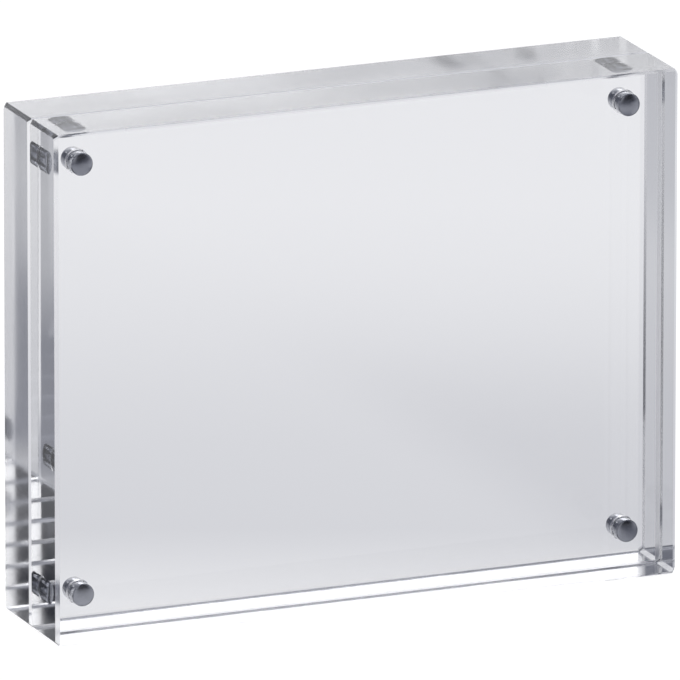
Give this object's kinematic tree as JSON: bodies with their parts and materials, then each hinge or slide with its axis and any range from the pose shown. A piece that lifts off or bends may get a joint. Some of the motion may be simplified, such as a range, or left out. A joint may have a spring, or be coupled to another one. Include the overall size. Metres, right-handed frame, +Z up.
{
  "type": "acrylic block frame",
  "caption": "Free-standing photo frame: two clear acrylic slabs, bevelled and polished, held face to face by pairs of disc magnets in blind corner bores.",
  "frame": {"origin": "on the surface the frame stands on, under the middle of the joint between the two slabs", "axes": "+X to the right along the width seen from the front, +Y from the front to the rear, +Z up"},
  "size_m": [0.115, 0.024, 0.09],
  "materials": {
    "clear_acrylic": "polished",
    "nickel_plate": "satin"
  },
  "bodies": {
    "rear": {"rear_block": "clear_acrylic", "rear_magnet_top_left": "nickel_plate", "rear_magnet_top_right": "nickel_plate", "rear_magnet_bottom_left": "nickel_plate", "rear_magnet_bottom_right": "nickel_plate"},
    "front": {"front_block": "clear_acrylic", "front_magnet_top_left": "nickel_plate", "front_magnet_top_right": "nickel_plate", "front_magnet_bottom_left": "nickel_plate", "front_magnet_bottom_right": "nickel_plate"}
  },
  "joints": [
    {"name": "front_pull_off", "type": "slide", "parent": "rear", "child": "front", "axis": [0, -1, 0], "range_m": [0, 0.04]}
  ]
}
